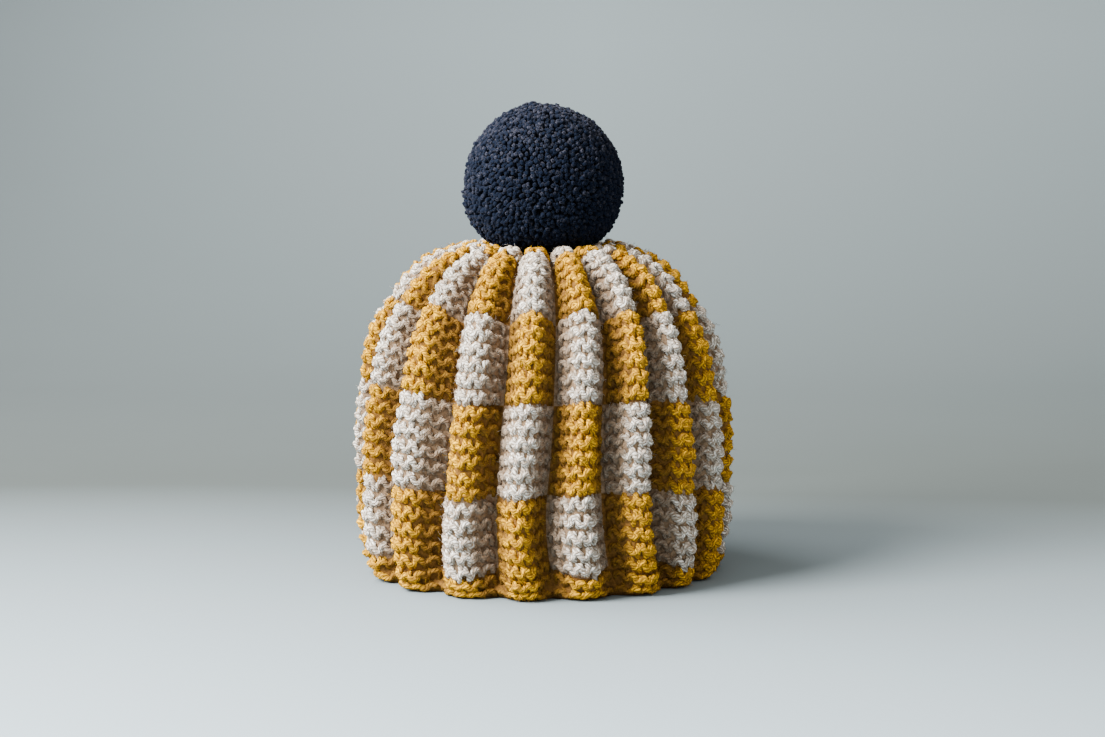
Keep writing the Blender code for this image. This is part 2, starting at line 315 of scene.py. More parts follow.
# Painted shade: darker at the left, where the lamps light the backdrop most.
LEFT_TO_RIGHT = (-0.62, 0.12)
# Painted light and shade: darker, warmer tones at the horizon and lighter ones up the wall.
HORIZON_WARMTH, HORIZON_TONES = (1.0, 0.945, 0.81), (0.118, 0.225)
WALL_WARMTH, WALL_TONES = (1.0, 0.985, 0.93), (0.225, 0.58)
GRAIN, GRAIN_TONE = 0.04, 0.6

SEED = 7
FLOAT_SEED = SEED + 10
POMPOM_SEED = SEED + 20


# ---- Arrays ----


def unit(rows):
    length = np.linalg.norm(rows, axis=-1, keepdims=True)
    return rows / np.maximum(length, 1e-9)


def raised(points, lowest):
    """The same points, none below a height."""
    points[..., 2] = np.maximum(points[..., 2], lowest)
    return points


def smooth_curve(points, steps):
    """A Catmull-Rom curve through rows of numbers, with steps rows from each to the next."""
    rows = np.array(points, dtype=float)
    before = np.vstack([2 * rows[0] - rows[1], rows])
    after = np.vstack([rows, 2 * rows[-1] - rows[-2]])
    slopes = (after[1:] - before[:-1]) / 2
    share = np.linspace(0.0, 1.0, steps, endpoint=False)[:, None]
    runs = []
    for start, end, leave, arrive in zip(rows, rows[1:], slopes, slopes[1:]):
        runs.append(
            (2 * share**3 - 3 * share**2 + 1) * start
            + (share**3 - 2 * share**2 + share) * leave
            + (3 * share**2 - 2 * share**3) * end
            + (share**3 - share**2) * arrive
        )
    return np.vstack([*runs, rows[-1:]])


class Column:
    """Numbers that vary along the profile, a column for each pleat or groove."""

    def __init__(self, along, values):
        self.along = np.asarray(along, dtype=float)
        self.values = np.asarray(values, dtype=float).reshape(len(self.along), -1)

    def at(self, along, which=0):
        along = np.asarray(along, dtype=float)
        which = np.broadcast_to(which, along.shape)
        high = np.clip(np.searchsorted(self.along, along), 1, len(self.along) - 1)
        low = high - 1
        share = (along - self.along[low]) / (self.along[high] - self.along[low])
        share = np.clip(share, 0.0, 1.0)
        return self.values[low, which] * (1 - share) + self.values[high, which] * share


def table_column(levels, table):
    curve = smooth_curve(np.column_stack([levels, np.array(table).T]), TABLE_STEPS)
    return Column(curve[:, 0], curve[:, 1:])


# ---- The pleated surface ----


class Profile:
    """The line that the pleats' crests follow, measured along its own length from the hem."""

    def __init__(self, stations):
        height, radius, depth = smooth_curve(stations, PROFILE_STEPS).T
        rise, run = np.gradient(height), np.gradient(radius)
        length = np.hypot(rise, run)
        gaps = np.hypot(np.diff(height), np.diff(radius))
        along = np.concatenate([[0.0], np.cumsum(gaps)])
        self.length = along[-1]
        self.radius_table, self.height_table = radius, height
        self.height = Column(along, height)
        self.radius = Column(along, radius)
        self.depth = Column(along, depth)
        self.out = Column(along, rise / length)
        self.up = Column(along, -run / length)

    def top_at(self, radius):
        """Height of the crown at a distance from its centre."""
        crown = self.radius_table <= CROWN_REACH
        radii, heights = self.radius_table[crown], self.height_table[crown]
        return np.interp(radius, radii[::-1], heights[::-1])


PROFILE_LINE = Profile(PROFILE)


def cloth_point(angle, along, inward):
    """Points inward from the crests' line."""
    out = PROFILE_LINE.out.at(along)
    up = PROFILE_LINE.up.at(along) * np.clip(along / HEM_BAND, 0.0, 1.0)
    reach = PROFILE_LINE.radius.at(along) - inward * out
    height = PROFILE_LINE.height.at(along) - inward * up + np.minimum(along, 0.0)
    return np.stack([reach * np.sin(angle), -reach * np.cos(angle), height], axis=-1)


def waist_at(along):
    """How far the pleats are drawn in at a distance along the profile."""
    along = np.asarray(along, dtype=float)
    drawn = np.zeros_like(along)
    for low, high in zip(BLOCKS[:-2], BLOCKS[1:-1]):
        share = (along - low.end) / (high.end - low.end)
        inside = (share >= 0.0) & (share <= 1.0)
        drawn = np.where(inside, WAIST * (1.0 - np.sin(np.pi * share)), drawn)
    return drawn


def slit_half_width(along):
    share = np.clip((along - SLIT_START) / (SLIT_END - SLIT_START), 0.0, 1.0)
    return SLIT_HALF_WIDTH * np.sin(np.pi * share) ** SLIT_ROUNDNESS


def pleat_shape(swing, along):
    """Where a pleat's surface is at a swing: as shares of its half width and of its height."""
    draw = CREST_DRAW * np.interp(along, CROWN_LEVELS, CROWN_SHARES)
    place = np.sin(swing)
    lift = (1.0 - np.minimum(np.abs(place), 1.0) ** FULLNESS) ** (1.0 / FULLNESS)
    lift = np.where(np.abs(swing) > np.pi / 2, -lift, lift)
    return place * (1.0 - draw * (1.0 - (1.0 - lift) ** 3)), lift


class Panel:
    """One pleated panel's surface. A swing is -pi/2 to pi/2 across a pleat."""

    def __init__(self, name, grooves, bulges, drifts, turn):
        self.name = name
        self.turn = turn
        along = np.linspace(0.0, PROFILE_LINE.length, GROOVE_ROWS)
        inner = table_column(GROOVE_LEVELS, grooves)
        columns = [np.radians(inner.at(along, number)) for number in range(PLEATS - 1)]
        edge = np.pi / 2 - slit_half_width(along) / PROFILE_LINE.radius.at(along)
        self.grooves = Column(along, np.stack([-edge, *columns, edge], axis=-1))
        self.bulge = table_column(BULGE_LEVELS, [(*row, 0.0) for row in bulges])
        rows = []
        for low, mid, high in drifts:
            rows.append((0.0, HEM_DRIFT * low, low, mid, high, CROWN_DRIFT * high, 0.0))
        self.drift = table_column(DRIFT_LEVELS, rows)

    def section(self, pleat, along):
        """A pleat's middle and half width, in radians, its depth, and its crest's inward place."""
        left = self.grooves.at(along, pleat)
        right = self.grooves.at(along, np.asarray(pleat) + 1)
        crest = waist_at(along) - self.bulge.at(along, pleat)
        return (left + right) / 2, (right - left) / 2, PROFILE_LINE.depth.at(along), crest

    def point(self, pleat, swing, along):
        """Points on the outer surface."""
        middle, half, depth, crest = self.section(pleat, along)
        place, lift = pleat_shape(swing, along)
        return cloth_point(middle + half * place, along, depth - (depth - crest) * lift)

    def outward(self, pleat, swing, along):
        """The direction out of the surface."""
        right = self.point(pleat, swing + SWING_STEP, along)
        left = self.point(pleat, swing - SWING_STEP, along)
        above = self.point(pleat, swing, along + ALONG_STEP)
        below = self.point(pleat, swing, along - ALONG_STEP)
        return unit(np.cross(unit(right - left), above - below))

    def turned(self, points):
        c, s = math.cos(self.turn), math.sin(self.turn)
        x, y, z = np.moveaxis(points, -1, 0)
        return np.stack([c * x - s * y, s * x + c * y, z], axis=-1)


PANELS = (
    Panel("front", FRONT_GROOVES, FRONT_BULGES, FRONT_DRIFTS, 0.0),
    Panel("back", BACK_GROOVES, BACK_BULGES, BACK_DRIFTS, math.pi),
)


# ---- Meshes ----


def add_thing(name, data):
    thing = bpy.data.objects.new(name, data)
    bpy.context.scene.collection.objects.link(thing)
    return thing


def fill(items, name, values, kind=np.float32):
    items.foreach_set(name, np.ascontiguousarray(values, dtype=kind).ravel())


def add_mesh(name, points, faces, sizes, materials, uv=None, tint=None, wears=None, fold=None):
    """A piece from arrays: points in millimetres, the faces' corners in a row, and the corners
    of each face."""
    mesh = bpy.data.meshes.new(name)
    mesh.vertices.add(len(points))
    fill(mesh.vertices, "co", points * MM)
    mesh.loops.add(len(faces))
    fill(mesh.loops, "vertex_index", faces, np.int32)
    mesh.polygons.add(len(sizes))
    fill(mesh.polygons, "loop_start", np.cumsum(sizes) - sizes, np.int32)
    mesh.update(calc_edges=True)
    fill(mesh.polygons, "use_smooth", np.ones(len(sizes)), bool)
    if uv is not None:
        fill(mesh.uv_layers.new(name="strand").data, "uv", uv)
    for word, column in (("tint", tint), ("fold", fold)):
        if column is not None:
            fill(mesh.attributes.new(word, "FLOAT", "POINT").data, "value", column)
    for material in materials:
        mesh.materials.append(material)
    if wears is not None:
        fill(mesh.polygons, "material_index", wears, np.int32)
    mesh.validate()
    thing = add_thing(name, mesh)
    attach(thing, "root")
    return thing


def ring_points(paths, radii, side, up, sides):
    """Rings of points along paths, square to the two directions given for each."""
    angle = np.linspace(0.0, 2 * np.pi, sides, endpoint=False)[:, None]
    ring = np.cos(angle) * up[:, :, None, :] + np.sin(angle) * side[:, :, None, :]
    return (paths[:, :, None, :] + ring * radii[:, :, None, None]).reshape(-1, 3)


def tube_points(paths, radii, outs, sides):
    """Rings along paths. paths and outs are (tubes, points, 3), and radii (tubes, points)."""
    ahead = unit(np.gradient(paths, axis=1))
    side = unit(np.cross(ahead, outs))
    return ring_points(paths, radii, side, np.cross(side, ahead), sides)


def tube_faces(tubes, count, sides):
    """The corners of closed tubes of count rings each, and the corners per face."""
    first = (np.arange(tubes) * count * sides)[:, None, None]
    low = first + (np.arange(count - 1) * sides)[:, None]
    high = low + sides
    turn = np.arange(sides)
    after = (turn + 1) % sides
    quads = np.stack([low + turn, high + turn, high + after, low + after], axis=-1)
    bottoms = first[:, 0] + turn
    tops = first[:, 0] + (count - 1) * sides + turn[::-1]
    sizes = np.repeat([4, sides], [quads.size // 4, 2 * tubes])
    return np.concatenate([quads.ravel(), bottoms.ravel(), tops.ravel()]), sizes


def tube_uv(paths, sides):
    """UVs of the same faces: millimetres along the strand, and a share of its girth."""
    tubes, count = paths.shape[:2]
    gaps = np.linalg.norm(np.diff(paths, axis=1), axis=-1)
    run = np.concatenate([np.zeros((tubes, 1)), np.cumsum(gaps, axis=1)], axis=1)[..., None]
    girth = np.broadcast_to(np.arange(sides) / sides, (tubes, count - 1, sides))
    after = girth + 1.0 / sides
    low = np.broadcast_to(run[:, :-1], girth.shape)
    high = np.broadcast_to(run[:, 1:], girth.shape)
    corners = [(low, girth), (high, girth), (high, after), (low, after)]
    uv = np.stack([np.stack(corner, axis=-1) for corner in corners], axis=-2)
    return np.concatenate([uv.reshape(-1, 2), np.zeros((2 * tubes * sides, 2))])


def strand_piece(name, materials, points, paths, sides, tint, wears=None, fold=None):
    """Tubes as one mesh, with a tint and, if wears is given, a material for each tube."""
    tubes, count = paths.shape[:2]
    faces, sizes = tube_faces(tubes, count, sides)
    tints = np.repeat(tint, count * sides)
    if wears is not None:
        wears = np.concatenate([np.repeat(wears, (count - 1) * sides), wears, wears])
    uv = tube_uv(paths, sides)
    return add_mesh(name, points, faces, sizes, materials, uv, tints, wears, fold)


# ---- Stitches ----


def ridge_rows():
    """Each garter ridge's place along the profile, its height, and its block."""
    rows = []
    start = 0.0
    for number, block in enumerate(BLOCKS):
        height = (block.end - start) / block.ridges
        for ridge in range(block.ridges):
            rows.append((start + (ridge + 0.5) * height, height, number))
        start = block.end
    return rows


def block_colour(number, pleat):
    block = BLOCKS[number]
    return block.odd if pleat % 2 == 0 else block.even


def pleat_shift(panel, pleat, swing, along):
    """How far a course rides up across a pleat, joined to its neighbours in the grooves."""
    here = panel.drift.at(along, pleat)
    left = panel.drift.at(along, np.maximum(pleat - 1, 0))
    right = panel.drift.at(along, np.minimum(pleat + 1, PLEATS - 1))
    place = np.sin(swing)
    beside = np.where(place < 0, left, right)
    return here + (beside - here) / 2 * np.abs(place) ** 3


Loops = namedtuple("Loops", "pleat swing along lift radius colour")
Strands = namedtuple("Strands", "paths outs radii colour fold")
SHARE = np.linspace(0.0, 1.0, LOOP_POINTS)  # along a loop
BOW = np.sin(np.pi * SHARE)


def panel_loops(panel, rng, pitch, strand):
    """Every yarn loop of a panel, as places on its surface."""
    swings = np.linspace(-np.pi / 2, np.pi / 2, ROW_STEPS + 1)
    found = []
    for pleat in range(PLEATS):
        for middle, height, number in ridge_rows():
            if middle > COVERED_FROM:
                continue
            level = np.full(swings.shape, middle)
            level = level + pleat_shift(panel, pleat, swings, level)
            row = panel.point(pleat, swings, level)
            gaps = np.linalg.norm(np.diff(row, axis=0), axis=1)
            run = np.concatenate([[0.0], np.cumsum(gaps)])
            heads = int(np.clip(round(run[-1] / pitch), 1, STITCHES_MOST))
            width = run[-1] / heads
            centres = np.concatenate([np.arange(heads) + 0.5, np.arange(1, heads)]) * width
            faces_up = np.repeat([1.0, -1.0], [heads, heads - 1])
            many = len(centres)
            loose = rng.normal(0.0, JITTER, (many, 4))
            span = LOOP_SPAN * width * (1 + WIDTH_JITTER * loose[:, 3:4])
            lean = rng.normal(0.0, LOOP_LEAN, (many, 1))
            x = -span * np.cos(np.pi * SHARE) * (1 + LOOP_BELLY * BOW**2)
            tall = (LOOP_RISE + LOOP_DROP) * height / LOOP_RIDGE
            y = faces_up[:, None] * (tall * BOW**0.85 - LOOP_DROP * height / LOOP_RIDGE)
            x, y = x - lean * y, y + lean * x
            lift = LOOP_CREST - LOOP_SINK * (1 - BOW**0.8) + LIFT_JITTER * loose[:, 2:3]
            place = centres[:, None] + x + loose[:, 0:1]
            place = np.clip(place, -LOOP_OVERHANG, run[-1] + LOOP_OVERHANG)
            swing = np.interp(place, run, swings)
            along = np.interp(swing, swings, level) + y + loose[:, 1:2]
            radius = strand / 2 * (1 + rng.normal(0.0, LOOP_UNEVEN, (many, 1)))
            radius = radius * (1 + rng.normal(0.0, POINT_UNEVEN, (many, LOOP_POINTS)))
            colour = np.full(many, block_colour(number, pleat))
            found.append(Loops(np.full(many, pleat), swing, along, lift, radius, colour))
    return Loops(*[np.concatenate(column) for column in zip(*found)])


def face_strands(panel, loops):
    """The loops on a panel's face as tubes in space, with painted shade that darkens them in the
    folds.
    """
    pleat = np.broadcast_to(loops.pleat[:, None], loops.swing.shape)
    here = panel.point(pleat, loops.swing, loops.along)
    out = panel.outward(pleat, loops.swing, loops.along)
    # Painted shade: the loops get darker as they swing down into the pleats' folds, less so under
    # the pompom.
    fold = np.clip((np.abs(loops.swing) - FOLD_SHADE_START) / (FOLD_SHADE_END - FOLD_SHADE_START), 0.0, 1.0)
    fold = fold * np.interp(loops.along, CROWN_LEVELS, CROWN_SHARES)
    paths = panel.turned(here + out * loops.lift[..., None])
    return Strands(paths, panel.turned(out), loops.radius, loops.colour, fold)


def edge_strands(panel, rng, strand):
    """Yarn loops that bind the panel's two side edges beside the slits."""
    paths, outs, colours = [], [], []
    for groove, pleat, side in ((0, 0, -1.0), (PLEATS, PLEATS - 1, 1.0)):
        for middle, height, number in ridge_rows():
            if slit_half_width(middle) < EDGE_FROM:
                continue
            for turned_in in (False, True):
                centre = middle + (0.5 * height if turned_in else 0.0)
                centre = centre + rng.normal(0.0, EDGE_JITTER)
                centre = centre + panel.drift.at(middle, pleat)
                along = centre + (SHARE - 0.5) * height * EDGE_LENGTH
                reach = EDGE_REACH * BOW + rng.normal(0.0, EDGE_REACH_JITTER)
                inward = PROFILE_LINE.depth.at(along) - EDGE_OUTSIDE + reach
                if turned_in:
                    inward = PROFILE_LINE.depth.at(along) + WALL + EDGE_INSIDE - reach
                angle = panel.grooves.at(along, groove)
                push = EDGE_PUSH * BOW / PROFILE_LINE.radius.at(along)
                path = cloth_point(angle + side * push, along, inward)
                beyond = cloth_point(angle + side * (push + EDGE_AHEAD), along, inward)
                paths.append(path)
                outs.append(unit(beyond - path))
                colours.append(block_colour(number, pleat))
    paths, outs = panel.turned(np.array(paths)), panel.turned(np.array(outs))
    radii = strand / 2 * (1 + rng.normal(0.0, EDGE_UNEVEN, paths.shape[:2]))
    # The edge loops all get a little painted shade.
    return Strands(paths, outs, radii, np.array(colours), np.full(radii.shape, EDGE_SHADE))


def float_strands(panel, rng):
    """The yarn carried across the inside from pleat to pleat, a strand for each ridge."""
    tubes, ways, colours = [], [], []
    share = np.linspace(0.0, 1.0, FLOAT_POINTS)
    knots = np.linspace(0.0, 1.0, FLOAT_KNOTS)
    for order, (middle, _, _) in enumerate(ridge_rows()):
        if middle > FLOATS_TO:
            continue
        along = middle + np.interp(share, knots, rng.normal(0.0, FLOAT_STRAY, FLOAT_KNOTS))
        left, right = panel.grooves.at(along, 0), panel.grooves.at(along, PLEATS)
        angle = left + (right - left) * (FLOAT_START + FLOAT_WIDTH * share)
        wave = FLOAT_WAVE * np.cos(share * PLEATS * 2 * np.pi)
        inward = PROFILE_LINE.depth.at(along) + WALL + FLOAT_GAP + wave
        path = raised(cloth_point(angle, along, inward), FLOAT_LOWEST)
        tubes.append(path)
        ways.append(unit(cloth_point(angle, along, inward + 1.0) - path))
        colours.append(order % 2)
    return panel.turned(np.array(tubes)), panel.turned(np.array(ways)), np.array(colours)


def fibre_paths(rng, strands, length, number):
    """Fine stray fibres that stand from the strands, and the strand of each."""
    which = rng.integers(0, len(strands.paths), number)
    spot = rng.integers(1, LOOP_POINTS - 1, number)
    root, out = strands.paths[which, spot], strands.outs[which, spot]
    ahead = unit(strands.paths[which, spot + 1] - strands.paths[which, spot - 1])
    around = rng.uniform(-FUZZ_ARC, FUZZ_ARC, number)[:, None]
    away = unit(np.cos(around) * out + np.sin(around) * np.cross(ahead, out))
    reach = length * rng.uniform(FUZZ_SHORTEST, 1.0, number)[:, None]
    drag = rng.uniform(-1.0, 1.0, number)[:, None] * ahead
    start = root + away * strands.radii[which, spot][:, None] * FUZZ_ROOT
    middle = start + away * reach * FUZZ_MIDDLE[0] + drag * reach * FUZZ_MIDDLE[1]
    wander = rng.normal(0.0, FUZZ_WANDER, (number, 3)) * reach
    end = middle + away * reach * FUZZ_TIP[0] + drag * reach * FUZZ_TIP[1] + wander
    return np.stack([start, middle, end], axis=1), which


# ---- Cloth under the stitches ----


def cloth_rings(panel, along, sunk):
    """Rows of points across the whole panel, sunk below the outer surface."""
    radius, depth = PROFILE_LINE.radius.at(along), PROFILE_LINE.depth.at(along)
    columns = []
    for pleat in range(PLEATS):
        middle, half, _, crest = panel.section(pleat, along)
        narrow = np.clip(half - sunk / radius, CLOTH_NARROWEST * half, half)
        columns.append(cloth_point(panel.grooves.at(along, pleat), along, depth + sunk))
        for swing in np.linspace(-np.pi / 2, np.pi / 2, CLOTH_STEPS + 1):
            place, lift = pleat_shape(swing, along)
            low = depth + CLOTH_ROOT * sunk
            high = np.minimum(crest + sunk, low - CLOTH_LOWEST_PLEAT)
            inward = low - (low - high) * lift
            columns.append(cloth_point(middle + narrow * place, along, inward))
    columns.append(cloth_point(panel.grooves.at(along, PLEATS), along, depth + sunk))
    return raised(np.stack(columns, axis=1), LOWEST["cloth"])


def cloth_piece(name, panel, materials):
    """A closed cloth with two rows for each ridge: its top and the valley beside it."""
    levels, valley = [0.0], [0.0]
    for middle, height, _ in ridge_rows():
        levels += [middle, middle + height / 2]
        valley += [0.0, CLOTH_VALLEY]
    levels, valley = np.array(levels), np.array(valley)
    outer = cloth_rings(panel, levels, CLOTH_OUTSIDE + valley)
    inner = cloth_rings(panel, levels, CLOTH_INSIDE - valley)
    rows, columns = outer.shape[:2]
    index = np.arange(rows * columns).reshape(rows, columns)
    far = index + rows * columns
    faces = []
    for grid, flip in ((index, False), (far, True)):
        quad = np.stack([grid[:-1, :-1], grid[:-1, 1:], grid[1:, 1:], grid[1:, :-1]], axis=-1)
        faces.append((quad[..., ::-1] if flip else quad).reshape(-1, 4))
    borders = (
        (index[0], far[0], True),
        (index[-1], far[-1], False),
        (index[:, 0], far[:, 0], False),
        (index[:, -1], far[:, -1], True),
    )
    for near, back, flip in borders:
        quad = np.stack([near[:-1], near[1:], back[1:], back[:-1]], axis=-1)
        faces.append(quad[:, ::-1] if flip else quad)
    faces = np.concatenate(faces)

    pleats = np.minimum(np.arange(columns - 1) // (CLOTH_STEPS + 2), PLEATS - 1)
    blocks = np.repeat([number for _, _, number in ridge_rows()], 2)
    colours = np.array([[block_colour(number, pleat) for pleat in pleats] for number in blocks])
    edges = (colours[0], colours[-1], colours[:, 0], colours[:, -1])
    insides = [side.ravel() + 2 for side in (colours, *edges)]
    wears = np.concatenate([colours.ravel(), *insides])
    points = panel.turned(np.concatenate([outer.reshape(-1, 3), inner.reshape(-1, 3)]))
    sizes = np.full(len(faces), 4)
    return add_mesh(name, points, faces.ravel(), sizes, materials, wears=wears)


# ---- Pompom ----


def ball_radius(ways):
    """The pompom's radius in each direction: it is wider where it sits, and trimmed unevenly."""
    off = (np.arcsin(ways[:, 2]) - POMPOM_SAG_ANGLE) / POMPOM_SAG_SPREAD
    radius = POMPOM_RADIUS + POMPOM_SAG * np.exp(-off * off)
    for tuft in TUFTS:
        turn, rise = math.radians(tuft.turn), math.radians(tuft.rise)
        flat = math.cos(rise)
        middle = np.array((math.sin(turn) * flat, -math.cos(turn) * flat, math.sin(rise)))
        apart = np.degrees(np.arccos(np.clip(ways @ middle, -1.0, 1.0)))
        radius = radius + tuft.height * np.exp(-((apart / tuft.spread) ** 2))
    return radius


def even_directions(count):
    """Directions spread evenly over a ball, along a spiral."""
    number = np.arange(count) + 0.5
    rise = 1 - 2 * number / count
    turn = number * math.pi * (3 - math.sqrt(5))
    flat = np.sqrt(1 - rise**2)
    return np.stack([flat * np.cos(turn), flat * np.sin(turn), rise], axis=-1)


def clear_of_crown(points):
    """The same points, lifted where they would reach into the crown below."""
    radius = np.hypot(points[..., 0], points[..., 1])
    return raised(points, PROFILE_LINE.top_at(radius) + POMPOM_ROOM)


def end_piece(name, settings, material):
    """Short round ends of yarn that stand from the core, closed at both ends."""
    rng = np.random.default_rng(POMPOM_SEED)
    ways = even_directions(settings.ends)
    ways = unit(ways + rng.normal(0.0, END_SPREAD, ways.shape))
    reach = ball_radius(ways) + rng.normal(0.0, 1.0, len(ways)) * settings.uneven / MM
    lean = rng.normal(0.0, END_LEAN, ways.shape)
    lean -= ways * np.sum(lean * ways, axis=-1, keepdims=True)
    depth = reach - CORE_RADIUS + END_ROOT
    shares = np.array(END_SHARES)[:, None]
    run = (reach - depth)[:, None, None] + depth[:, None, None] * shares
    paths = np.array(POMPOM_MIDDLE) + ways[:, None] * run + lean[:, None] * shares
    girths = settings.end_width / MM / 2 * np.array(END_GIRTHS)
    radii = girths * (1 + rng.normal(0.0, END_UNEVEN, (len(ways), 1)))
    side = unit(np.cross(ways, unit(np.cross(ways, END_SIDEWAYS))))
    up = np.cross(side, ways)
    points = ring_points(paths, radii, side[:, None], up[:, None], END_SIDES)
    points = clear_of_crown(points + rng.normal(0.0, END_LUMPS, points.shape))
    # Painted light: pale ends are likelier towards the top.
    top_lit_paleness = rng.uniform(0.0, 1.0, len(ways)) + TOP_LIGHT_BIAS * ways[:, 2]
    tint = np.repeat(np.clip(top_lit_paleness, 0.0, 1.0), len(shares) * END_SIDES)
    # Painted shade: each end darkens down its sides towards the core.
    fold = np.tile(np.repeat(END_SHADES, END_SIDES), len(ways))
    faces, sizes = tube_faces(len(ways), len(shares), END_SIDES)
    return add_mesh(name, points, faces, sizes, [material], tint=tint, fold=fold)


def core_piece(name, material):
    """A round core below the yarn ends."""
    polar = np.linspace(CORE_POLE, np.pi - CORE_POLE, CORE_ROWS)[:, None]
    around = np.linspace(0.0, 2 * np.pi, CORE_COLUMNS, endpoint=False)
    flat = np.sin(polar)
    axes = np.broadcast_arrays(flat * np.cos(around), flat * np.sin(around), np.cos(polar))
    points = np.array(POMPOM_MIDDLE) + CORE_RADIUS * np.stack(axes, axis=-1)
    points = clear_of_crown(points.reshape(-1, 3))
    index = np.arange(len(points)).reshape(CORE_ROWS, CORE_COLUMNS)
    after = np.roll(index, -1, axis=1)
    quads = np.stack([index[:-1], index[1:], after[1:], after[:-1]], axis=-1)
    faces = np.concatenate([quads.ravel(), index[0], index[-1][::-1]])
    sizes = np.repeat([4, CORE_COLUMNS], [quads.size // 4, 2])
    # Painted shade: the core takes the colour of the shade between the ends all over.
    return add_mesh(name, points, faces, sizes, [material], fold=np.ones(len(points)))


# ---- Materials ----


class Nodes:
    """A material's node tree, and short ways to add to it."""

    def __init__(self, name):
        self.material = bpy.data.materials.new(name)
        self.material.use_nodes = True
        self.tree = self.material.node_tree
        self.shader = self.tree.nodes["Principled BSDF"]

    def set(self, socket, value):
        if isinstance(value, bpy.types.NodeSocket):
            self.tree.links.new(value, socket)
        else:
            socket.default_value = value

    def add(self, kind, **inputs):
        node = self.tree.nodes.new(kind)
        for name, value in inputs.items():
            self.set(node.inputs[name.replace("_", " ")], value)
        return node

    def attribute(self, name):
        node = self.add("ShaderNodeAttribute")
        node.attribute_name = name
        return node.outputs["Fac"]

    def place(self):
        return self.add("ShaderNodeTexCoord").outputs["Object"]

    def noise(self, place, scale, detail, roughness):
        node = self.add(
            "ShaderNodeTexNoise", Vector=place, Scale=scale, Detail=detail, Roughness=roughness
        )
        return node.outputs["Fac"]

    def maths(self, operation, first, second=0.0):
        node = self.add("ShaderNodeMath")
        node.operation = operation
        self.set(node.inputs[0], first)
        self.set(node.inputs[1], second)
        return node.outputs[0]

    def blend(self, amount, first, second):
        """first where amount is 0, and second where it is 1."""
        node = self.tree.nodes.new("ShaderNodeMix")
        node.data_type = "RGBA"
        self.set(node.inputs["Factor"], amount)
        self.set(node.inputs["A"], first)
        self.set(node.inputs["B"], second)
        return node.outputs["Result"]

    def ramp(self, amount, low, high):
        node = self.add("ShaderNodeMapRange", Value=amount, From_Min=low, From_Max=high)
        return node.outputs["Result"]

    def bump(self, height, strength, distance):
        node = self.add("ShaderNodeBump", Strength=strength, Distance=distance, Height=height)
        self.set(self.shader.inputs["Normal"], node.outputs["Normal"])

    def finish(self, colour, **constants):
        """The material, with its colour and the numbers that are the same all over it."""
        self.set(self.shader.inputs["Base Color"], colour)
        for name, value in constants.items():
            self.shader.inputs[name.replace("_", " ")].default_value = value
        return self.material


def tone(colour, share):
    return (*[min(1.0, channel * share) for channel in colour[:3]], 1.0)


def tones(colour, warmth, shares):
    """Two tones of a colour, made warmer by a share of each channel."""
    warmed = [channel * share for channel, share in zip(colour, warmth)]
    return [tone(warmed, share) for share in shares]


def strand_material(name, colour, deep):
    """Spun wool along a strand: plies that wind round it, fine fibres, and a heathered colour."""
    nodes = Nodes(name)
    uv = nodes.add("ShaderNodeUVMap")
    uv.uv_map = "strand"
    split = nodes.add("ShaderNodeSeparateXYZ", Vector=uv.outputs["UV"])
    run, girth = split.outputs["X"], split.outputs["Y"]
    tint = nodes.attribute("tint")
    wound = nodes.maths("ADD", nodes.maths("MULTIPLY", run, TWIST), girth)
    fibre_place = nodes.add(
        "ShaderNodeCombineXYZ",
        X=nodes.maths("MULTIPLY", run, 0.3),
        Y=nodes.maths("MULTIPLY", wound, 9.0),
        Z=nodes.maths("MULTIPLY", tint, 90.0),
    )
    fibre = nodes.noise(fibre_place.outputs[0], 1.2, 3.0, 0.6)
    ply = nodes.maths("SINE", nodes.maths("MULTIPLY", wound, 2 * math.pi * PLIES))
    ply = nodes.ramp(ply, -1.0, 0.1)
    heather = nodes.noise(nodes.place(), 520.0, 3.0, 0.6)
    # Dark between the fibres and between the plies is painted shade, the fibres' light streaks are
    # partly painted highlight and partly their own colour, and the heather's flecks are the yarn's
    # own marl.
    shade = nodes.blend(nodes.ramp(fibre, 0.42, 0.58), tone(deep, 0.8), tone(colour, 1.2))
    shade = nodes.blend(nodes.ramp(heather, 0.62, 0.5), tone(deep, 0.8), shade)
    shade = nodes.blend(ply, tone(deep, 0.45), shade)
    # A little of each strand's own tint, and painted shade: a deep tone where the loops run into
    # the pleats' folds.
    shade = nodes.blend(0.2, shade, nodes.blend(tint, tone(colour, 0.7), tone(colour, 1.15)))
    fold = nodes.maths("MULTIPLY", nodes.attribute("fold"), 0.88)
    shade = nodes.blend(fold, shade, tone(deep, 0.55))
    height = nodes.maths("ADD", nodes.maths("MULTIPLY", ply, 0.5), fibre)
    height = nodes.maths("ADD", height, nodes.maths("MULTIPLY", heather, 0.5))
    nodes.bump(height, 1.0, 0.001)
    return nodes.finish(
        shade, Roughness=0.92, Specular_IOR_Level=0.05, Sheen_Weight=0.08, Sheen_Roughness=0.6,
        Sheen_Tint=tone(colour, 1.2),
    )


def cloth_material(name, colour, deep):
    """The knitting below its own surface. deep is its colour between the loops."""
    nodes = Nodes(name)
    coarse = nodes.noise(nodes.place(), 320.0, 5.0, 0.7)
    shade = nodes.blend(nodes.ramp(coarse, 0.35, 0.7), tone(deep, 0.6), tone(colour, 1.0))
    nodes.bump(coarse, 1.0, 0.0015)
    return nodes.finish(shade, Roughness=0.95, Specular_IOR_Level=0.1)


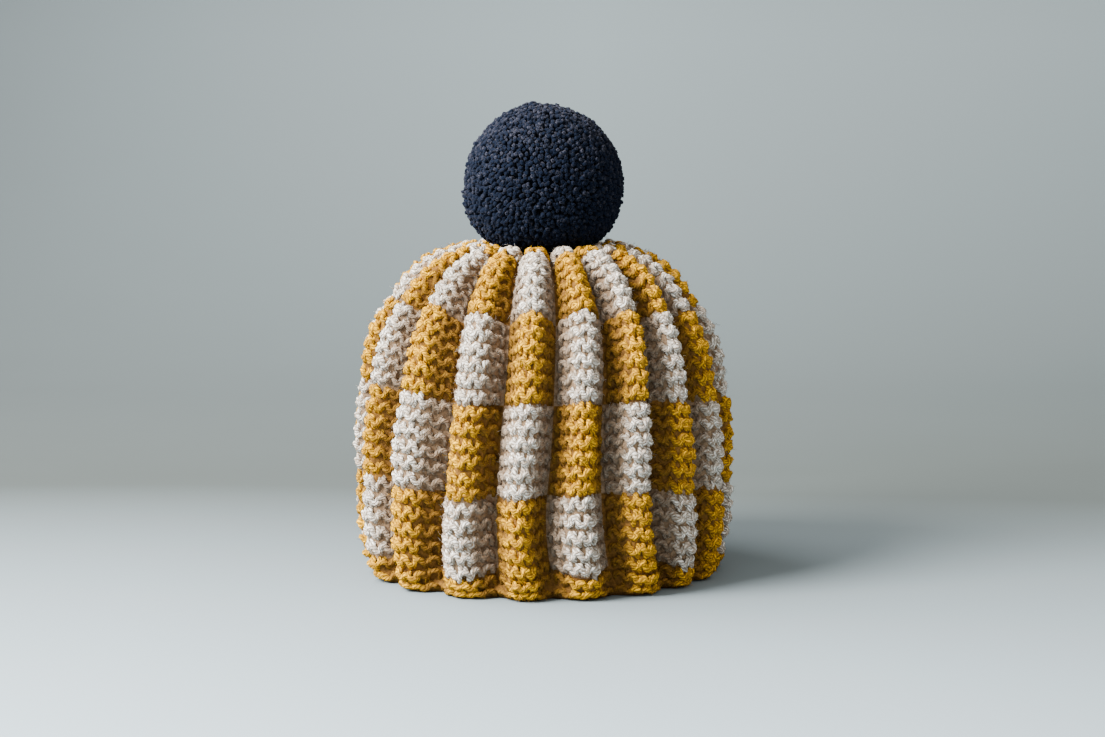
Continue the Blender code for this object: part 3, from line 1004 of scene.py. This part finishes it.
def pompom_material(name, colour):
    """Navy wool: painted shade darker down the sides of its ends and between them, with greyer cut
    tips.
    """
    nodes = Nodes(name)
    fold = nodes.attribute("fold")
    fine = nodes.noise(nodes.place(), 900.0, 4.0, 0.7)
    tips = nodes.blend(nodes.ramp(nodes.attribute("tint"), 0.6, 1.0), END_TIP, PALE_TIP)
    # Painted shade: darker down each end's sides, and the gap colour deepest in.
    shade = nodes.blend(nodes.ramp(fold, 0.0, 0.5), tips, tone(colour, 0.95))
    shade = nodes.blend(nodes.ramp(fine, 0.35, 0.6), tone(colour, 0.8), shade)
    shade = nodes.blend(nodes.ramp(fold, 0.6, 0.9), shade, GAP_SHADE_NAVY)
    nodes.bump(fine, 0.6, 0.0005)
    return nodes.finish(
        shade, Roughness=0.95, Specular_IOR_Level=0.03, Sheen_Weight=0.085, Sheen_Roughness=0.45,
        Sheen_Tint=NAVY_SHEEN,
    )


def backdrop_material(name, colour):
    """Pale paper with painted light and shade: it darkens towards the back of the floor, and
    clears again up the wall.
    """
    nodes = Nodes(name)
    place = nodes.place()
    split = nodes.add("ShaderNodeSeparateXYZ", Vector=place)
    x, y, z = [split.outputs[axis] for axis in "XYZ"]
    slant = nodes.maths("MULTIPLY", nodes.ramp(x, *SLANT_ACROSS), PAINTED_SHADOW_SLANT)
    back = nodes.ramp(nodes.maths("ADD", y, slant), *PAINTED_FLOOR_SHADE)
    wall = nodes.ramp(nodes.maths("ADD", y, z), *PAINTED_WALL_LIGHT)
    right = nodes.ramp(x, *LEFT_TO_RIGHT)
    horizon = nodes.blend(right, *tones(colour, HORIZON_WARMTH, HORIZON_TONES))
    high = nodes.blend(right, *tones(colour, WALL_WARMTH, WALL_TONES))
    shade = nodes.blend(wall, nodes.blend(back, tone(colour, 1.0), horizon), high)
    grain = nodes.maths("MULTIPLY", nodes.noise(place, 9.0, 6.0, 0.6), GRAIN)
    shade = nodes.blend(grain, shade, tone(colour, GRAIN_TONE))
    return nodes.finish(shade, Roughness=0.85, Specular_IOR_Level=0.2)


def shared_material(name, make, *values):
    """The material of that name, made the first time that it is asked for."""
    return bpy.data.materials.get(name) or make(name, *values)


# ---- Settings ----


class CosyYarn(bpy.types.PropertyGroup):
    mustard: FloatVectorProperty(
        name="Mustard", description="Colour of the mustard yarn", subtype="COLOR",
        default=(0.89, 0.442, 0.0), min=0.0, max=1.0,
    )
    # Flecks and painted shade: the heather's flecks, and the painted shade between fibres and
    # plies, in the folds and on the cloth under the loops.
    mustard_flecks_and_shade: FloatVectorProperty(
        name="Mustard between fibres", description="Colour between the mustard yarn's fibres",
        subtype="COLOR", default=(0.27, 0.128, 0.028), min=0.0, max=1.0,
    )
    oatmeal: FloatVectorProperty(
        name="Oatmeal", description="Colour of the oatmeal yarn", subtype="COLOR",
        default=(1.0, 0.9, 0.79), min=0.0, max=1.0,
    )
    # Flecks and painted shade: the heather's flecks, and the painted shade between fibres and
    # plies, in the folds and on the cloth under the loops.
    oatmeal_flecks_and_shade: FloatVectorProperty(
        name="Oatmeal between fibres", description="Colour between the oatmeal yarn's fibres",
        subtype="COLOR", default=(0.385, 0.256, 0.155), min=0.0, max=1.0,
    )
    navy: FloatVectorProperty(
        name="Navy", description="Colour of the pompom's yarn", subtype="COLOR",
        default=(0.0033, 0.0067, 0.0165), min=0.0, max=1.0,
    )
    strand: FloatProperty(
        name="Strand", description="Thickness of the knitting yarn",
        default=2.7 * MM, min=1.0 * MM, max=4.0 * MM, subtype="DISTANCE", unit="LENGTH",
    )
    stitch: FloatProperty(
        name="Stitch", description="Width of one stitch",
        default=7.1 * MM, min=4.0 * MM, max=12.0 * MM, subtype="DISTANCE", unit="LENGTH",
    )
    fuzz: IntProperty(
        name="Stray fibres", description="Number of stray fibres on each panel",
        default=6000, min=0, max=12000,
    )
    fuzz_length: FloatProperty(
        name="Fibre length", description="Length of the longest stray fibres",
        default=2.8 * MM, min=0.5 * MM, max=10.0 * MM, subtype="DISTANCE", unit="LENGTH",
    )


class CosyPompom(bpy.types.PropertyGroup):
    ends: IntProperty(
        name="Yarn ends", description="Number of cut yarn ends on the pompom",
        default=5400, min=300, max=5500,
    )
    end_width: FloatProperty(
        name="End width", description="Thickness of a cut yarn end",
        default=2.2 * MM, min=1.0 * MM, max=4.0 * MM, subtype="DISTANCE", unit="LENGTH",
    )
    uneven: FloatProperty(
        name="Unevenness", description="How far an end stands above or below the ball",
        default=0.46 * MM, min=0.0, max=3.0 * MM, subtype="DISTANCE", unit="LENGTH",
    )


class CosyStage(bpy.types.PropertyGroup):
    floor: FloatVectorProperty(
        name="Floor", description="Colour of the floor and backdrop", subtype="COLOR",
        default=(0.308, 0.384, 0.434), min=0.0, max=1.0,
    )
    key: FloatProperty(
        name="Key light", description="Power of the window light", default=46.0, min=0.0,
        unit="POWER",
    )
    front: FloatProperty(
        name="Front light", description="Power of the soft light from the front", default=170.0,
        min=0.0, unit="POWER",
    )
    sky: FloatProperty(
        name="Sky", description="Strength of the light from all round", default=1.12, min=0.0,
    )


# ---- Operators ----


def yarn_colours(settings):
    return (
        (settings.mustard, settings.mustard_flecks_and_shade),
        (settings.oatmeal, settings.oatmeal_flecks_and_shade),
    )


def yarn_materials(settings):
    return [
        shared_material(f"{word} strands", strand_material, colour, deep)
        for word, (colour, deep) in zip(YARNS, yarn_colours(settings))
    ]


def cloth_materials(settings):
    """Both yarns' materials under the loops, painted shade in dark tones, and then on the inside.
    """
    shaded_grounds, insides = [], []
    for word, (colour, deep) in zip(YARNS, yarn_colours(settings)):
        # Painted shade: the cloth under the loops is given dark tones of the deep colour.
        shaded_ground = [tone(deep, share) for share in SHADED_GROUND_TONES]
        inside = [tone(yarn, INSIDE_TONE) for yarn in (colour, deep)]
        shaded_grounds.append(shared_material(f"{word} ground", cloth_material, *shaded_ground))
        insides.append(shared_material(f"{word} inside", cloth_material, *inside))
    return shaded_grounds + insides


class COSY_OT_stitches(bpy.types.Operator):
    """Knit the yarn loops of both panels, with their stray fibres"""

    bl_idname = "cosy.stitches"
    bl_label = "Knit the Stitches"

    def execute(self, context):
        settings = context.scene.cosy_yarn
        materials = yarn_materials(settings)
        strand = settings.strand / MM
        for number, panel in enumerate(PANELS):
            rng = np.random.default_rng(SEED + number)
            face = face_strands(panel, panel_loops(panel, rng, settings.stitch / MM, strand))
            edge = edge_strands(panel, rng, strand)
            strands = Strands(*[np.concatenate(pair) for pair in zip(face, edge)])
            tint = rng.uniform(0.0, 1.0, len(strands.paths))
            for yarn, word in enumerate(YARNS):
                mine = strands.colour == yarn
                paths, outs, radii, _, fold = [column[mine] for column in strands]
                points = tube_points(paths, radii, outs, LOOP_SIDES)
                points = points + rng.normal(0.0, LUMPS, points.shape)
                piece = strand_piece(
                    f"{panel.name}_{word}_stitches", [materials[yarn]],
                    raised(points, LOWEST["stitches"]), paths, LOOP_SIDES, tint[mine],
                    fold=np.repeat(fold.ravel(), LOOP_SIDES),
                )
            length = settings.fuzz_length / MM
            paths, which = fibre_paths(rng, strands, length, settings.fuzz)
            radii = np.broadcast_to(FUZZ_RADII, paths.shape[:2])
            outs = strands.outs[which, :FUZZ_POINTS]
            points = tube_points(paths, radii, outs, FUZZ_SIDES)
            piece = strand_piece(
                f"{panel.name}_fibres", materials, raised(points, LOWEST["fibres"]), paths,
                FUZZ_SIDES, tint[which], strands.colour[which],
            )
        return {"FINISHED"}


class COSY_OT_floats(bpy.types.Operator):
    """Carry the spare yarn across the inside of both panels"""

    bl_idname = "cosy.floats"
    bl_label = "Carry the Floats"

    def execute(self, context):
        materials = yarn_materials(context.scene.cosy_yarn)
        for number, panel in enumerate(PANELS):
            rng = np.random.default_rng(FLOAT_SEED + number)
            paths, outs, colour = float_strands(panel, rng)
            radii = FLOAT_RADIUS * (1 + rng.normal(0.0, FLOAT_UNEVEN, paths.shape[:2]))
            points = raised(tube_points(paths, radii, outs, FLOAT_SIDES), LOWEST["floats"])
            tint = rng.uniform(0.0, 1.0, len(paths))
            piece = strand_piece(
                f"{panel.name}_floats", materials, points, paths, FLOAT_SIDES, tint, colour
            )
        return {"FINISHED"}


class COSY_OT_cloth(bpy.types.Operator):
    """Lay the thin gathered cloth that the stitches stand on"""

    bl_idname = "cosy.cloth"
    bl_label = "Lay the Cloth"

    def execute(self, context):
        materials = cloth_materials(context.scene.cosy_yarn)
        for panel in PANELS:
            piece = cloth_piece(f"{panel.name}_cloth", panel, materials)
            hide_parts(f"{panel.name}_panel")
        return {"FINISHED"}


class COSY_OT_pompom(bpy.types.Operator):
    """Make the pompom of cut yarn ends"""

    bl_idname = "cosy.pompom"
    bl_label = "Make the Pompom"

    def execute(self, context):
        navy = context.scene.cosy_yarn.navy
        material = shared_material("navy strands", pompom_material, navy)
        piece = end_piece("pompom_ends", context.scene.cosy_pompom, material)
        core = core_piece("pompom_core", material)
        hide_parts("pompom")
        return {"FINISHED"}


def add_sweep(settings):
    """A floor that curves up into a backdrop."""
    line = [(SWEEP_NEAR, 0.0), (SWEEP_FAR, 0.0)]
    for step in range(1, SWEEP_BEND_STEPS + 1):
        turn = step / SWEEP_BEND_STEPS * math.pi / 2
        rise = SWEEP_BEND * (1 - math.cos(turn))
        line.append((SWEEP_FAR + SWEEP_BEND * math.sin(turn), rise))
    line.append((SWEEP_FAR + SWEEP_BEND, SWEEP_TOP))
    points = [(side, *spot) for side in (-SWEEP_HALF_WIDTH, SWEEP_HALF_WIDTH) for spot in line]
    count = len(line)
    low = np.arange(count - 1)
    faces = np.stack([low, low + count, low + count + 1, low + 1], axis=-1)
    mesh = bpy.data.meshes.new("sweep")
    mesh.from_pydata((np.array(points) * MM).tolist(), [], faces.tolist())
    mesh.shade_smooth()
    mesh.materials.append(backdrop_material("pale floor", settings.floor))
    sweep = add_thing("sweep", mesh)


def add_lamp(lamp, power):
    light = bpy.data.lights.new(lamp.name, "AREA")
    light.shape = "DISK"
    light.size = lamp.size * MM
    light.energy = power
    light.color = lamp.colour
    thing = add_thing(lamp.name, light)
    thing.location = Vector(lamp.place) * MM
    aim = Vector(LIT_POINT) - Vector(lamp.place)
    thing.rotation_euler = aim.to_track_quat("-Z", "Y").to_euler()


def add_sky(strength):
    world = bpy.data.worlds.new("soft sky")
    world.use_nodes = True
    background = world.node_tree.nodes["Background"]
    background.inputs["Color"].default_value = SKY_COLOUR
    background.inputs["Strength"].default_value = strength
    bpy.context.scene.world = world


def add_camera():
    camera = bpy.data.cameras.new("camera")
    camera.sensor_width = SENSOR
    camera.lens = FOCAL_PIXELS / FRAME_WIDTH * SENSOR
    thing = add_thing("camera", camera)
    x, y, z = CAMERA_PLACE
    c, s = math.cos(CAMERA_TURN), math.sin(CAMERA_TURN)
    thing.location = Vector((c * x - s * y, s * x + c * y, z)) * MM
    thing.rotation_euler = (math.pi / 2 - CAMERA_PITCH, 0.0, CAMERA_TURN)
    bpy.context.scene.camera = thing


class COSY_OT_stage(bpy.types.Operator):
    """Set the pale sweep, the soft light and the camera"""

    bl_idname = "cosy.stage"
    bl_label = "Set the Stage"

    def execute(self, context):
        settings = context.scene.cosy_stage
        add_sweep(settings)
        add_lamp(WINDOW, settings.key)
        add_lamp(FRONT, settings.front)
        add_sky(settings.sky)
        add_camera()
        return {"FINISHED"}


class COSY_PT_panel(bpy.types.Panel):
    """The tea cosy's pieces and settings"""

    bl_idname = "COSY_PT_panel"
    bl_label = "Tea Cosy"
    bl_space_type = "VIEW_3D"
    bl_region_type = "UI"
    bl_category = "Tea Cosy"

    def draw(self, context):
        scene = context.scene
        column = self.layout.column()
        for group in (scene.cosy_yarn, scene.cosy_pompom, scene.cosy_stage):
            for name in group.bl_rna.properties.keys():
                if name not in ("rna_type", "name"):
                    column.prop(group, name)
        for operator in OPERATORS:
            column.operator(operator.bl_idname)


OPERATORS = (COSY_OT_stitches, COSY_OT_floats, COSY_OT_cloth, COSY_OT_pompom, COSY_OT_stage)
CLASSES = (CosyYarn, CosyPompom, CosyStage, *OPERATORS, COSY_PT_panel)


def register():
    for item in CLASSES:
        bpy.utils.register_class(item)
    bpy.types.Scene.cosy_yarn = PointerProperty(type=CosyYarn)
    bpy.types.Scene.cosy_pompom = PointerProperty(type=CosyPompom)
    bpy.types.Scene.cosy_stage = PointerProperty(type=CosyStage)


def unregister():
    del bpy.types.Scene.cosy_stage
    del bpy.types.Scene.cosy_pompom
    del bpy.types.Scene.cosy_yarn
    for item in reversed(CLASSES):
        bpy.utils.unregister_class(item)


def main():
    register()
    bpy.ops.cosy.stitches()
    bpy.ops.cosy.floats()
    bpy.ops.cosy.cloth()
    bpy.ops.cosy.pompom()
    bpy.ops.cosy.stage()


if __name__ == "__main__":
    main()
